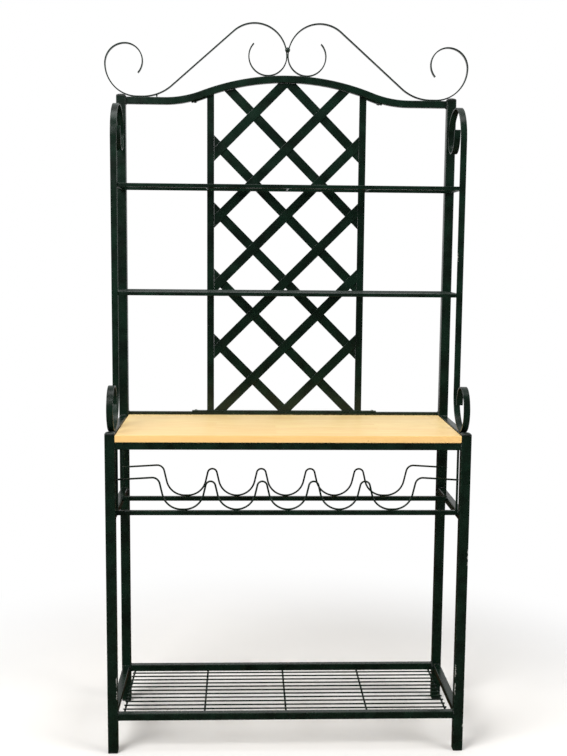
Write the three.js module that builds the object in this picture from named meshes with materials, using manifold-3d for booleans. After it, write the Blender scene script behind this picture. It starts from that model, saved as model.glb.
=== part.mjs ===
import * as THREE from 'three';
import { mergeVertices } from 'three/addons/utils/BufferGeometryUtils.js';
import Module from 'manifold-3d';

const wasm = await Module();
wasm.setup();

// A bakers rack of welded steel tube, rod and flat bar. Millimetres, Z up, front towards -Y,
// origin on the floor under the middle of the footprint.

// Frame
const frameWidth = 918;
const frameDepth = 356;
const legSide = 25;
const railSide = 18.8;
const tubeWall = 1.2;
const tubeCorner = 2;
const weldGap = 0.2;
const archGap = 0.3;
const weldSink = 0.4;

// Worktop board and the height of its top face
const worktopTop = 831;
const boardThick = 18;
const boardSideGap = 0.5;
const boardGap = 0.5;
const worktopBackRailStep = 7.5;

// Back frame above the worktop
const postTop = 1694.5;
const archRise = 61;
const archHalf = 331;
const archCrownShare = 0.69;
const footRailSide = 13;
const footRailAbove = 8;

// Plastic caps and glides
const plugShank = 14;
const plugFlange = 2;
const domeHeight = 5.5;
const glideFlange = 4;
const glideShank = 16;
const plugClearance = 0.3;
const spigotLength = 90;

// Bottom shelf
const shelfRailTop = 105.5;
const gridWire = 4;
const gridPitch = 24.4;
const gridCount = 11;
const gridSideGap = 12.1;
const gridOverhang = 4.5;
const crossWire = 5;
const gridDrop = 10;

// Wine rack
const wineSide = 12;
const wineDrop = 205;
const wineBarRise = 4.2;
const wineFront = 44;
const wineSpacing = 160;
const hangerWire = 6;
const scallopWire = 4.8;
const scallopPitch = 131.5;
const scallopCount = 5;
const scallopHeight = 72.7;
const troughRadius = 49;
const endTroughFlat = 8.5;
const crestRadius = 12.5;
const shoulderRadius = 19;
const shoulderRise = 9.5;
const endRunDrop = 5;

// Side scrolls
const scrollWidth = 16.5;
const scrollThick = 4;
const scrollSetback = 150;
const lowerSweep = 88;
const lowerCurlOut = 52;
const lowerCurlRise = 56.3;
const lowerCurlIn = 50;
const lowerTipOut = 46;
const lowerTipFall = 40;
const lowerTipStraight = 12;
const upperSweep = 89;
const upperShoulderFall = 68;
const upperCurl = 44;
const upperTipStraight = 14;
const scrollTopBelowPost = 32.5;

// Upper shelves
const shelfBar = 9.5;
const upperShelfTop = 1456;
const middleShelfTop = 1180;
const deckCount = 7;

// Lattice panel
const latticeRise = 900;
const latticeCrossings = 5;
const latticeFlat = 25.4;
const latticeThick = 3;
const uprightX = 206.5;
const uprightWidth = 19;
const uprightThick = 5;
const stripThick = 3;
const earReach = 51.5;
const earScrewInset = 11;

// Crown
const crownThick = 3.2;
const crownWidth = 12.7;
const crownArch = 86;
const innerCurl = 51;
const innerTip = 47.5;
const innerTipAngle = 44;
const landingRadius = 121;
const landingFlat = 14;
const landingInset = 56.5;
const outerSweep = 85;
const outerCurl = 54;
const outerTip = 46;
const outerTipAngle = 43;
const knotRadius = 7;
const knotRise = 15.5;

// Fasteners
const screwRadius = 2;
const screwHead = 4;
const screwHeadTall = 2.4;
const screwBite = 10;
const screwClearance = 0.25;
const boardScrewReach = 300;

// Fineness of the curves
const cornerSteps = 2;
const rodSides = 8;
const quarterSteps = 8;
const archSteps = 44;
const archPoints = 264;
const earSteps = 3;
const scallopPace = 13;

const paint = { color: 0x14241c, roughness: 0.28, metalness: 0.0 };
const plastic = { color: 0x101613, roughness: 0.45, metalness: 0.0 };
const maple = { color: 0xe3c48e, roughness: 0.5, metalness: 0.0 };
const zinc = { color: 0x5a625d, roughness: 0.4, metalness: 0.8 };

const legX = (frameWidth - legSide) / 2;
const legY = (frameDepth - legSide) / 2;
const legInnerX = legX - legSide / 2;
const legInnerY = legY - legSide / 2;
const boreSide = legSide - 2 * tubeWall;
const boardBottom = worktopTop - boardThick;
const boardWidth = 2 * (legInnerX - boardSideGap);
const worktopRailZ = boardBottom - weldGap - railSide / 2;
const worktopBackRailY = legInnerY - worktopBackRailStep + railSide / 2;
const wineRailTop = worktopTop - wineDrop;
const railInnerX = legX - railSide / 2 - weldGap;
const hangerX = railInnerX - hangerWire / 2;
const earX = uprightX + earReach;
const earScrewX = earX - earScrewInset;
const archY = (frameDepth - railSide) / 2;
const footRailY = (frameDepth - footRailSide) / 2;
const footRailTop = worktopTop + footRailAbove;
const stripTop = footRailTop + weldGap + stripThick;
const gridHalf = legX - railSide / 2 - gridSideGap;
const crossPitch = gridHalf / 2;
const latticePitch = latticeRise / latticeCrossings;
const landingX = legX - landingInset;
const fromFront = (reach) => reach - frameDepth / 2;

const rack = new THREE.Group();
const sides = [['left', -1], ['right', 1]];

// Turns that lay a length drawn along Z, or a flat outline, in another direction
const alongX = (geometry) => geometry.rotateY(Math.PI / 2);
const alongY = (geometry) => geometry.rotateX(-Math.PI / 2);
const upright = (geometry) => geometry.rotateX(Math.PI / 2);
const sideways = new THREE.Matrix4().makeBasis(
  new THREE.Vector3(0, 1, 0), new THREE.Vector3(0, 0, 1), new THREE.Vector3(1, 0, 0));

function add(name, geometry, finish, x = 0, y = 0, z = 0) {
  const mesh = new THREE.Mesh(geometry, new THREE.MeshStandardMaterial(finish));
  mesh.name = name;
  mesh.position.set(x, y, z);
  rack.add(mesh);
}

// Outline of a square with rounded corners, centred, counterclockwise
function roundedSquare(side, corner) {
  const reach = side / 2 - corner;
  const points = [];
  [[1, 1], [-1, 1], [-1, -1], [1, -1]].forEach(([right, up], quarter) => {
    for (let i = 0; i <= cornerSteps; i += 1) {
      const angle = (quarter + i / cornerSteps) * Math.PI / 2;
      points.push(new THREE.Vector2(
        right * reach + corner * Math.cos(angle), up * reach + corner * Math.sin(angle)));
    }
  });
  return points;
}

function tubeSection(side) {
  const section = new THREE.Shape(roundedSquare(side, tubeCorner));
  const reach = side / 2 - tubeWall;
  section.holes.push(new THREE.Path(rectangle(-reach, -reach, reach, reach).reverse()));
  return section;
}

// A square tube standing from zero to its length, its bore open at both ends
function squareTube(side, length) {
  return new THREE.ExtrudeGeometry(tubeSection(side), { depth: length, bevelEnabled: false });
}

function rod(diameter, length) {
  const cylinder = new THREE.CylinderGeometry(diameter / 2, diameter / 2, length, rodSides);
  return cylinder.rotateX(Math.PI / 2);
}

// Straight pieces are placed by their two ends and a centre line
function tubeAcross(name, side, halfLength, y, z) {
  const tube = alongX(squareTube(side, 2 * halfLength));
  add(name, tube, paint, -halfLength, y, z);
}

function tubeDeep(name, side, halfLength, x, z) {
  const tube = alongY(squareTube(side, 2 * halfLength));
  add(name, tube, paint, x, -halfLength, z);
}

function tubeUp(name, side, bottom, top, x, y) {
  add(name, squareTube(side, top - bottom), paint, x, y, bottom);
}

// Points on a circular arc, or on a quarter of an ellipse where the two reaches differ
function arc(centreX, centreZ, reachX, reachZ, startDegrees, endDegrees) {
  const steps = Math.max(2, Math.ceil(Math.abs(endDegrees - startDegrees) / 90 * quarterSteps));
  return Array.from({ length: steps + 1 }, (_, i) => {
    const angle = THREE.MathUtils.degToRad(startDegrees + (endDegrees - startDegrees) * i / steps);
    return new THREE.Vector2(centreX + reachX * Math.cos(angle), centreZ + reachZ * Math.sin(angle));
  });
}

// Even places from one value to another
const spread = (start, end, steps) => Array.from(
  { length: steps + 1 }, (_, i) => start + (end - start) * i / steps);

// Direction, in degrees, from the first centre to the point where the tangent that crosses
// between two circles leaves the first; side is 1 for above the line of centres, -1 for below
function crossTangent(first, firstRadius, second, secondRadius, side) {
  const line = second.clone().sub(first);
  const opening = Math.acos((firstRadius + secondRadius) / line.length());
  return THREE.MathUtils.radToDeg(Math.atan2(line.y, line.x) + side * opening);
}

// A path through planar points, X across and Z up, run at an even pace
class Sketch extends THREE.Curve {
  constructor(points) {
    super();
    this.points = points.filter((p, i) => i === 0 || p.distanceTo(points[i - 1]) > weldGap);
    this.lengths = [0];
    for (let i = 1; i < this.points.length; i += 1) {
      this.lengths.push(this.lengths[i - 1] + this.points[i].distanceTo(this.points[i - 1]));
    }
  }

  getPoint(share) {
    const last = this.points.length - 1;
    const distance = share * this.lengths[last];
    const next = this.lengths.findIndex((length) => length >= distance);
    const i = next < 0 ? last : Math.max(next, 1);
    const part = (distance - this.lengths[i - 1]) / (this.lengths[i] - this.lengths[i - 1]);
    const flat = this.points[i - 1].clone().lerp(this.points[i], Math.min(part, 1));
    return new THREE.Vector3(flat.x, 0, flat.y);
  }
}

function sweep(section, points, pace) {
  const path = new Sketch(points);
  const steps = Math.round(path.lengths.at(-1) / pace);
  return new THREE.ExtrudeGeometry(section, { steps, extrudePath: path, bevelEnabled: false });
}

function roundSection(diameter) {
  const points = Array.from({ length: rodSides }, (_, i) => new THREE.Vector2(
    diameter / 2 * Math.cos(2 * Math.PI * i / rodSides),
    diameter / 2 * Math.sin(2 * Math.PI * i / rodSides)));
  return new THREE.Shape(points);
}

// Outline of a band of even thickness along a planar path
function band(points, thick) {
  const edge = (side) => points.map((p, i) => {
    const before = points[Math.max(i - 1, 0)];
    const after = points[Math.min(i + 1, points.length - 1)];
    const along = after.clone().sub(before).normalize();
    return new THREE.Vector2(p.x + side * along.y * thick / 2, p.y - side * along.x * thick / 2);
  });
  return [...edge(1), ...edge(-1).reverse()];
}

function extrude(outline, depth) {
  const shape = new THREE.Shape(outline);
  return new THREE.ExtrudeGeometry(shape, { depth, bevelEnabled: false }).translate(0, 0, -depth / 2);
}

const rectangle = (left, bottom, right, top) => [
  new THREE.Vector2(left, bottom), new THREE.Vector2(right, bottom),
  new THREE.Vector2(right, top), new THREE.Vector2(left, top)];

// Boolean cuts: a closed geometry as a solid, and a solid back as a geometry
function solid(geometry) {
  const bare = geometry.clone();
  bare.deleteAttribute('normal');
  bare.deleteAttribute('uv');
  const merged = mergeVertices(bare);
  return new wasm.Manifold(new wasm.Mesh({
    numProp: 3,
    vertProperties: merged.attributes.position.array,
    triVerts: Uint32Array.from(merged.index.array),
  }));
}

function geometryOf(body) {
  const mesh = body.getMesh();
  const geometry = new THREE.BufferGeometry();
  geometry.setAttribute('position', new THREE.BufferAttribute(mesh.vertProperties, 3));
  geometry.setIndex(new THREE.BufferAttribute(mesh.triVerts, 1));
  const faceted = geometry.toNonIndexed();
  faceted.computeVertexNormals();
  return faceted;
}

const cut = (geometry, ...tools) => geometryOf(
  tools.reduce((body, tool) => body.subtract(solid(tool)), solid(geometry)));

const join = (...pieces) => geometryOf(
  pieces.slice(1).reduce((body, piece) => body.add(solid(piece)), solid(pieces[0])));

const drill = (length) => rod(2 * (screwRadius + screwClearance), length);

// Solid through rounded squares, each given by its side and height, closed at both ends
function loft(rings) {
  const outlines = rings.map(([side, z]) => roundedSquare(side, tubeCorner * side / legSide)
    .map((p) => new THREE.Vector3(p.x, p.y, z)));
  const count = outlines[0].length;
  const [foot, head] = [rings[0], rings.at(-1)].map(([, z]) => new THREE.Vector3(0, 0, z));
  const corners = [];
  for (let i = 0; i < count; i += 1) {
    const j = (i + 1) % count;
    corners.push(foot, outlines[0][j], outlines[0][i]);
    corners.push(head, outlines.at(-1)[i], outlines.at(-1)[j]);
    for (let k = 1; k < outlines.length; k += 1) {
      const [low, high] = [outlines[k - 1], outlines[k]];
      corners.push(low[i], low[j], high[j], low[i], high[j], high[i]);
    }
  }
  const geometry = new THREE.BufferGeometry().setFromPoints(corners);
  geometry.computeVertexNormals();
  return geometry;
}

// Pan head screw with its head under zero and its shank going up
function screw(length) {
  const profile = [
    [0, -screwHeadTall], [screwHead * 0.6, -screwHeadTall], [screwHead, -screwHeadTall / 3],
    [screwHead, 0], [screwRadius, 0], [screwRadius, length], [0, length]];
  const points = profile.map(([x, y]) => new THREE.Vector2(x, y));
  return new THREE.LatheGeometry(points, rodSides).rotateX(Math.PI / 2);
}

// Legs, posts, and the plastic plugs in their ends
function legs() {
  const bottom = glideFlange + weldGap;
  const plugSide = boreSide - 2 * plugClearance;
  const glide = [[legSide - glideFlange / 2, 0], [legSide, glideFlange / 3],
    [legSide, glideFlange], [plugSide, glideFlange], [plugSide, glideFlange + glideShank]];
  const domeShares = [[0.97, 0.4], [0.87, 0.72], [0.68, 0.92], [0.42, 1]];
  const cap = [[plugSide, -plugShank], [plugSide, weldGap], [legSide, weldGap],
    [legSide, plugFlange], ...domeShares.map(([wide, high]) => [
      legSide * wide, plugFlange + domeHeight * high])];
  for (const [side, sign] of sides) {
    const x = sign * legX;
    tubeUp(`front_${side}_leg`, legSide, bottom, worktopTop, x, -legY);
    tubeUp(`back_${side}_leg`, legSide, bottom, worktopTop, x, legY);
    tubeUp(`${side}_post`, legSide, worktopTop + weldGap, postTop, x, legY);
    tubeUp(`${side}_post_spigot`, plugSide, worktopTop - spigotLength / 2,
      worktopTop + spigotLength / 2, x, legY);
    add(`front_${side}_leg_cap`, loft(cap), plastic, x, -legY, worktopTop);
    add(`${side}_post_cap`, loft(cap), plastic, x, legY, postTop);
    add(`front_${side}_glide`, loft(glide), plastic, x, -legY);
    add(`back_${side}_glide`, loft(glide), plastic, x, legY);
  }
}

const boardScrewPlaces = [-boardScrewReach, boardScrewReach].flatMap((x) => [
  new THREE.Vector2(x, -legY), new THREE.Vector2(x, worktopBackRailY)]);

// Rails under the worktop and round the bottom shelf, welded between the legs
function baseRails() {
  const across = legInnerX - weldGap;
  const deep = legInnerY - weldGap;
  const shelfZ = shelfRailTop - railSide / 2;
  for (const [name, y] of [['front', -legY], ['back', worktopBackRailY]]) {
    const tube = alongX(squareTube(railSide, 2 * across)).translate(-across, y, worktopRailZ);
    const holes = boardScrewPlaces.filter((place) => place.y === y).flatMap((place) => [
      drill(2 * railSide).translate(place.x, y, worktopRailZ),
      rod(2 * (screwHead + screwClearance), railSide).translate(
        place.x, y, worktopRailZ - railSide / 2)]);
    add(`worktop_${name}_rail`, cut(tube, ...holes), paint);
  }
  tubeAcross('shelf_front_rail', railSide, across, -legY, shelfZ);
  tubeAcross('shelf_back_rail', railSide, across, legY, shelfZ);
  for (const [side, sign] of sides) {
    tubeDeep(`worktop_${side}_rail`, railSide, deep, sign * legX, worktopTop - railSide / 2);
    tubeDeep(`shelf_${side}_rail`, railSide, deep, sign * legX, shelfZ);
  }
}

// Solid wood worktop between the side rails, screwed up from inside the front and back rails,
// whose lower walls have wider holes that let the heads in
function worktop() {
  const back = footRailY - footRailSide / 2 - boardGap;
  const depth = back + frameDepth / 2;
  const board = new THREE.BoxGeometry(boardWidth, depth, boardThick)
    .translate(0, back - depth / 2, boardBottom + boardThick / 2);
  const holes = boardScrewPlaces.map((place) => drill(2 * (screwBite + screwClearance))
    .translate(place.x, place.y, boardBottom));
  add('worktop_board', cut(board, ...holes), maple);
  const under = worktopRailZ + railSide / 2 - tubeWall - weldGap;
  boardScrewPlaces.forEach((place, i) => add(`worktop_screw_${i + 1}`,
    screw(boardBottom - under + screwBite), zinc, place.x, place.y, under));
}

// Long wires side by side, welded down on cross wires as one grid
function wireGrid(name, count, pitch, halfLength, y, z, crossPlaces, crossReach) {
  const wires = Array.from({ length: count }, (_, i) => alongX(rod(gridWire, 2 * halfLength))
    .translate(0, y + (i - (count - 1) / 2) * pitch, z));
  const crossZ = z - (gridWire + crossWire) / 2 + weldSink;
  const crosses = crossPlaces.map((x) => alongY(rod(crossWire, 2 * crossReach)).translate(x, y, crossZ));
  add(name, join(...crosses, ...wires), paint);
}

function bottomShelf() {
  const reach = legY - railSide / 2 - weldGap;
  const endBar = gridHalf - gridOverhang;
  const places = [-endBar, -crossPitch, 0, crossPitch, endBar];
  wireGrid('bottom_shelf_grid', gridCount, gridPitch, gridHalf, 0, shelfRailTop - gridDrop, places, reach);
}

// A light shelf behind the scroll uprights and in front of the posts: a bar frame and a wire deck
function upperShelf(name, top) {
  const front = fromFront(scrollSetback) + scrollThick / 2 + weldGap;
  const back = legInnerY - weldGap;
  const half = legX + shelfBar / 2;
  const middle = (front + back) / 2;
  const shape = new THREE.Shape(rectangle(-half, front, half, back));
  const hole = rectangle(-half + shelfBar, front + shelfBar, half - shelfBar, back - shelfBar);
  shape.holes.push(new THREE.Path(hole.reverse()));
  const frame = new THREE.ExtrudeGeometry(shape, { depth: shelfBar, bevelEnabled: false });
  add(`${name}_frame`, frame, paint, 0, 0, top - shelfBar);
  const inner = (back - front) / 2 - shelfBar;
  wireGrid(`${name}_grid`, deckCount, 2 * inner / (deckCount + 1), half - shelfBar - weldGap, middle,
    top - gridWire / 2, [-crossPitch, 0, crossPitch], inner - weldGap);
}

// Points of the scalloped wire, from the left hanger to the right one
function scallopPoints(bottom) {
  const troughZ = bottom + troughRadius;
  const crestZ = bottom + scallopHeight - crestRadius;
  const lean = crossTangent(new THREE.Vector2(0, troughZ), troughRadius,
    new THREE.Vector2(scallopPitch / 2, crestZ), crestRadius, -1);
  const middle = [];
  for (let i = 0; i < scallopCount; i += 1) {
    const x = (i - (scallopCount - 1) / 2) * scallopPitch;
    const left = i === 0 ? x - endTroughFlat : x;
    const right = i === scallopCount - 1 ? x + endTroughFlat : x;
    middle.push(...arc(left, troughZ, troughRadius, troughRadius, -180 - lean, -90),
      ...arc(right, troughZ, troughRadius, troughRadius, -90, lean));
    if (i < scallopCount - 1) {
      middle.push(...arc(x + scallopPitch / 2, crestZ, crestRadius, crestRadius, 180 + lean, -lean));
    }
  }
  const touch = THREE.MathUtils.degToRad(180 + lean);
  const shoulderZ = bottom + scallopHeight + shoulderRise - shoulderRadius;
  const climb = shoulderZ + shoulderRadius * Math.sin(touch) - middle.at(-1).y;
  const shoulderX = middle.at(-1).x - climb * Math.tan(touch) - shoulderRadius * Math.cos(touch);
  const end = hangerX - hangerWire / 2 - weldGap;
  const fall = THREE.MathUtils.radToDeg(Math.atan(endRunDrop / (end - shoulderX)));
  const shoulder = arc(shoulderX, shoulderZ, shoulderRadius, shoulderRadius, 180 + lean, 90 - fall);
  const tail = [...shoulder, new THREE.Vector2(end, shoulder.at(-1).y - endRunDrop)];
  const mirrored = tail.map((p) => new THREE.Vector2(-p.x, p.y)).reverse();
  return [...mirrored, ...middle, ...tail];
}

// Wine rack: cross bars welded between two side rails, four hangers and two scalloped wires
function wineRack() {
  const barTop = wineRailTop + wineBarRise;
  for (const [side, sign] of sides) {
    tubeDeep(`wine_${side}_rail`, railSide, legInnerY - weldGap, sign * legX,
      wineRailTop - railSide / 2);
  }
  const top = boardBottom - weldGap;
  const bottom = barTop + weldGap;
  for (const [name, place] of [['front', wineFront], ['back', wineFront + wineSpacing]]) {
    const y = fromFront(place);
    tubeAcross(`wine_${name}_bar`, wineSide, railInnerX, y, barTop - wineSide / 2);
    for (const [side, sign] of sides) {
      add(`wine_${name}_${side}_hanger`, rod(hangerWire, top - bottom), paint,
        sign * hangerX, y, (top + bottom) / 2);
    }
    const points = scallopPoints(bottom + scallopWire / 2);
    add(`wine_${name}_wire`, sweep(roundSection(scallopWire), points, scallopPace), paint, 0, y);
  }
}

// Centre line of the arched rail: one arc at the crown, two reversed arcs at the feet, then flat
const archAngle = 2 * Math.atan(archRise / archHalf);
const archRadii = archHalf / Math.sin(archAngle);
const crownRadius = archRadii * archCrownShare;
const archFootRadius = archRadii - crownRadius;
const archFootZ = postTop - weldGap - railSide / 2;
const archTurn = crownRadius * Math.sin(archAngle);

function archHeight(x) {
  const reach = Math.min(Math.abs(x), archHalf);
  return reach <= archTurn
    ? archFootZ + archRise - crownRadius + Math.sqrt(crownRadius ** 2 - reach ** 2)
    : archFootZ + archFootRadius - Math.sqrt(archFootRadius ** 2 - (archHalf - reach) ** 2);
}

function archSlope(x) {
  const reach = Math.min(Math.abs(x), archHalf);
  const steep = reach <= archTurn ? reach / crownRadius : (archHalf - reach) / archFootRadius;
  return -Math.sign(x) * Math.asin(steep);
}

const archEdge = (x, side) => archHeight(x) + side * (railSide / 2 + archGap) / Math.cos(archSlope(x));

// Carries a screw or its drill to an ear under the arched rail, square to the rail
function toUpperEar(sign, geometry) {
  const x = sign * earScrewX;
  const seat = archEdge(x, -1) - stripThick - 2 * weldGap;
  return geometry.rotateY(-archSlope(x)).translate(x, footRailY, seat);
}

const toLowerEar = (sign, geometry) => geometry.rotateX(Math.PI)
  .translate(sign * earScrewX, footRailY, stripTop + weldGap);

const earDrill = () => drill(2 * (stripThick + screwBite + screwClearance));

function archedRail() {
  const reach = legInnerX - weldGap;
  const points = spread(-reach, reach, archPoints).map((x) => new THREE.Vector2(x, archHeight(x)));
  const rail = sweep(tubeSection(railSide), points, 2 * reach / archSteps).translate(0, archY, 0);
  const holes = sides.map(([, sign]) => toUpperEar(sign, earDrill()));
  add('arched_top_rail', cut(rail, ...holes), paint);
}

// Rail at the foot of the back frame and the lattice panel's strip that is screwed on it
function footOfBack() {
  const across = legInnerX - weldGap;
  const rail = alongX(squareTube(footRailSide, 2 * across))
    .translate(-across, footRailY, footRailTop - footRailSide / 2);
  const strip = new THREE.BoxGeometry(2 * earX, footRailSide, stripThick)
    .translate(0, footRailY, stripTop - stripThick / 2);
  for (const [name, geometry] of [['back_foot_rail', rail], ['lattice_bottom_strip', strip]]) {
    const holes = sides.map(([, sign]) => toLowerEar(sign, earDrill()));
    add(name, cut(geometry, ...holes), paint);
  }
}

// Space between the strip and the arched rail, out to a given distance from the middle
function panelWindow(half) {
  const top = spread(half, -half, archSteps).map((x) => new THREE.Vector2(x, archEdge(x, -1)));
  const foot = stripTop + weldGap;
  const outline = [new THREE.Vector2(-half, foot), new THREE.Vector2(half, foot), ...top];
  return solid(upright(extrude(outline, frameDepth)));
}

// Lattice panel: flats crossing in two layers, welded, between two uprights with an ear at the top
function lattice() {
  const whole = panelWindow(uprightX + uprightWidth);
  const between = panelWindow(uprightX - uprightWidth / 2 - weldGap);
  for (const [side, sign] of sides) {
    const outline = rectangle(-uprightWidth / 2, 0, uprightWidth / 2, postTop + archRise);
    const bar = upright(extrude(outline, uprightThick)).translate(sign * uprightX, 0, 0);
    const trimmed = geometryOf(solid(bar).intersect(whole)).translate(0, footRailY, 0);
    const edge = spread(sign * uprightX, sign * earX, earSteps);
    const ear = [...edge.map((x) => new THREE.Vector2(x, archEdge(x, -1) - stripThick)),
      ...edge.map((x) => new THREE.Vector2(x, archEdge(x, -1))).reverse()];
    const ordered = sign > 0 ? ear : ear.reverse();
    const plate = upright(extrude(ordered, footRailSide)).translate(0, footRailY, 0);
    add(`lattice_${side}_upright`, cut(join(trimmed, plate), toUpperEar(sign, earDrill())), paint);
  }
  const rows = Math.ceil((postTop + archRise - stripTop) / latticePitch);
  const flats = [1, -1].flatMap((turn) => Array.from({ length: rows }, (_, i) => {
    const half = 2 * uprightX;
    const bar = extrude(rectangle(-half, -latticeFlat / 2, half, latticeFlat / 2), latticeThick)
      .rotateZ(turn * Math.PI / 4)
      .translate(0, stripTop + latticePitch * i, turn * (latticeThick - weldSink) / 2);
    return geometryOf(solid(upright(bar)).intersect(between));
  }));
  add('lattice_flats', join(...flats), paint, 0, footRailY);
  for (const [side, sign] of sides) {
    const length = stripThick + screwBite;
    add(`lattice_upper_${side}_screw`, toUpperEar(sign, screw(length)), zinc);
    add(`lattice_lower_${side}_screw`, toLowerEar(sign, screw(length)), zinc);
  }
}

// Flat bar scroll at each side: lower curl on the worktop rail, upright, upper curl on the post
function scrollPoints() {
  const base = worktopTop + weldGap + scrollThick / 2;
  const top = postTop - scrollTopBelowPost;
  const stem = fromFront(scrollSetback);
  const landing = stem - lowerSweep;
  const curlTop = landing - lowerCurlOut + lowerCurlIn;
  const curlZ = base + lowerCurlRise;
  const tip = new THREE.Vector2(curlTop + lowerTipOut, curlZ + lowerCurlRise - lowerTipFall);
  const back = legInnerY - weldGap - scrollThick / 2;
  const shoulder = stem + upperSweep;
  const eye = back - upperCurl;
  const eyeZ = top - upperShoulderFall;
  return [
    new THREE.Vector2(tip.x, tip.y - lowerTipStraight),
    ...arc(curlTop, tip.y, lowerTipOut, lowerTipFall, 0, 90),
    ...arc(curlTop, curlZ, lowerCurlIn, lowerCurlRise, 90, 180).slice(1),
    ...arc(landing, curlZ, lowerCurlOut, lowerCurlRise, 180, 270).slice(1),
    ...arc(landing, base + lowerSweep, lowerSweep, lowerSweep, 270, 360).slice(1),
    ...arc(shoulder, top - upperSweep, upperSweep, upperSweep, 180, 90),
    ...arc(shoulder, eyeZ, back - shoulder, upperShoulderFall, 90, 0).slice(1),
    ...arc(eye, eyeZ, upperCurl, upperCurl, 0, -180).slice(1),
    new THREE.Vector2(eye - upperCurl, eyeZ + upperTipStraight),
  ];
}

function scrolls() {
  for (const [side, sign] of sides) {
    const bar = extrude(band(scrollPoints(), scrollThick), scrollWidth).applyMatrix4(sideways);
    add(`${side}_scroll`, bar, paint, sign * legX);
  }
}

// Crown: two mirrored flat bars, each a tight curl, a high arch, a straight run and an outer curl
const crownZ = archEdge(crownThick / 2 + innerCurl, 1) + crownThick / 2 + innerCurl;

function crownPoints(sign) {
  const touch = (crownThick + weldGap) / 2;
  const innerX = touch + innerCurl;
  const arch = new THREE.Vector2(touch + crownArch, crownZ);
  const restZ = archEdge(archHalf, 1) + crownThick / 2;
  const land = new THREE.Vector2(landingX, restZ + landingRadius);
  const leave = crossTangent(arch, crownArch, land, landingRadius, 1);
  const outerX = landingX + landingFlat;
  const outerZ = restZ + outerSweep;
  const curlX = outerX + outerSweep - outerCurl;
  const points = [
    ...arc(innerX + innerCurl - innerTip, crownZ, innerTip, innerTip, innerTipAngle, 0),
    ...arc(innerX, crownZ, innerCurl, innerCurl, 0, -180).slice(1),
    ...arc(arch.x, crownZ, crownArch, crownArch, 180, leave).slice(1),
    ...arc(land.x, land.y, landingRadius, landingRadius, leave - 180, -90),
    ...arc(outerX, outerZ, outerSweep, outerSweep, -90, 0),
    ...arc(curlX, outerZ, outerCurl, outerCurl, 0, 90).slice(1),
    ...arc(curlX, outerZ + outerCurl - outerTip, outerTip, outerTip, 90, 180 + outerTipAngle).slice(1),
  ];
  return points.map((p) => new THREE.Vector2(sign * p.x, p.y));
}

// The ball on the front edges of the two bars, where they meet
function crown() {
  const bars = (thick, wide) => sides.map(([, sign]) => upright(
    extrude(band(crownPoints(sign), thick), wide)));
  bars(crownThick, crownWidth).forEach((bar, i) => add(
    `crown_${sides[i][0]}_bar`, bar, paint, 0, archY));
  const knot = new THREE.SphereGeometry(knotRadius, 2 * rodSides, rodSides)
    .translate(0, -(crownWidth + knotRadius) / 2, crownZ + knotRise);
  const slots = bars(crownThick + 2 * weldGap, crownWidth + 2 * weldGap);
  add('crown_knot', cut(knot, ...slots), paint, 0, archY);
}

legs();
baseRails();
worktop();
bottomShelf();
wineRack();
archedRail();
footOfBack();
lattice();
scrolls();
upperShelf('upper_shelf', upperShelfTop);
upperShelf('middle_shelf', middleShelfTop);
crown();

export default rack;
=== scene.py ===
import math
import bpy
import numpy as np
from mathutils import Matrix, Vector


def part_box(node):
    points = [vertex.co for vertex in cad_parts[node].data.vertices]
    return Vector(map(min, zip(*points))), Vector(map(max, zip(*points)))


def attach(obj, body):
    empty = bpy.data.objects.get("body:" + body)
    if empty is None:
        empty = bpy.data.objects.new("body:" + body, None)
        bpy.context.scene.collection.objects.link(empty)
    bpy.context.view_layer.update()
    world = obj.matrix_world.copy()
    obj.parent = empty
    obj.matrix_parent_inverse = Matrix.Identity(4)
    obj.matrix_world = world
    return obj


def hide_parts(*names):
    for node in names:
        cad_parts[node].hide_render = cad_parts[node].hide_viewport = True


# A bakers rack of coated steel with a wood worktop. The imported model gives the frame; shapes here
# are worked out in millimetres and put into the meshes in metres.

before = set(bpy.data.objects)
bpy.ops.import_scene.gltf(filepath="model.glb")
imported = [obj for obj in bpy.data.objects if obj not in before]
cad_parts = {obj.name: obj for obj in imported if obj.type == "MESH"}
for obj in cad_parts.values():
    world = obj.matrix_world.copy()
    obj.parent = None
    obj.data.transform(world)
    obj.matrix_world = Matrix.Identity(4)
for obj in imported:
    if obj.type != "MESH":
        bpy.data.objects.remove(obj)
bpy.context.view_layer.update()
mm = 0.001
pieceCount = 0
bothSides = ((-1, "left"), (1, "right"))
axisOf = {"x": np.array([1.0, 0, 0]), "y": np.array([0, 1.0, 0]), "z": np.array([0, 0, 1.0])}
rackSize = {"halfDepth": 178.0, "worktopTop": 831.0, "postTop": 1694.5, "legMiddleX": 446.5,
            "legMiddleY": 165.5, "legSide": 25.0, "railSide": 18.8, "weldGap": 0.2, "archMiddleY": 168.6}


# How outlines and paths are made up: the hold is a point's distance beside an arc, at most that share
# of the straight side, and wear is a round rod's and a cut end's scuffing and painted edge sheen, 0 to 1
outlineLook = {"hold": 0.9, "holdShare": 0.4, "rodWearAndSheen": 0.35, "endWearAndSheen": 0.6, "nearest": 0.15}
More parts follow.
